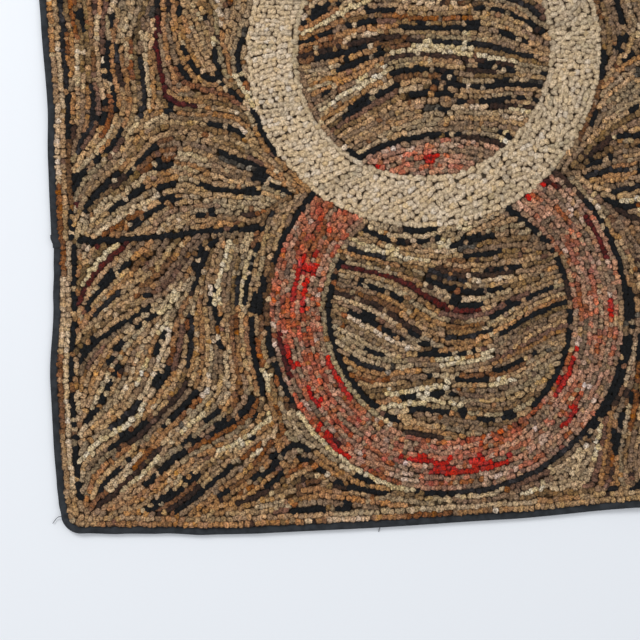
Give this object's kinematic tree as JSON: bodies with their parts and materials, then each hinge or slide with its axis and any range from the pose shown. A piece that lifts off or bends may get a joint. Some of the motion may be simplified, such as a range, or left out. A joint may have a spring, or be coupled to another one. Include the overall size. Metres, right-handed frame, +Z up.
{
  "type": "hooked rug",
  "caption": "Flat oblong hooked rug with a pile of rag loops, overlapping plain rings on a hit-or-miss ground and a dark binding tape folded over its edge.",
  "frame": {"origin": "centre of the rug's footprint, on the floor that it lies on", "axes": "+X along the long side, +Y along the short side, +Z up through the pile"},
  "size_m": [0.8658, 0.7512, 0.0097],
  "materials": {
    "rag_loops": "short loops of brown, tan, grey, cream, rust and black wool rag, matt and slightly fuzzy",
    "binding_cotton": "faded black twill cotton tape, matt"
  },
  "bodies": {
    "root": {"hooked_field": "rag_loops", "binding_tape": "binding_cotton"}
  },
  "joints": []
}
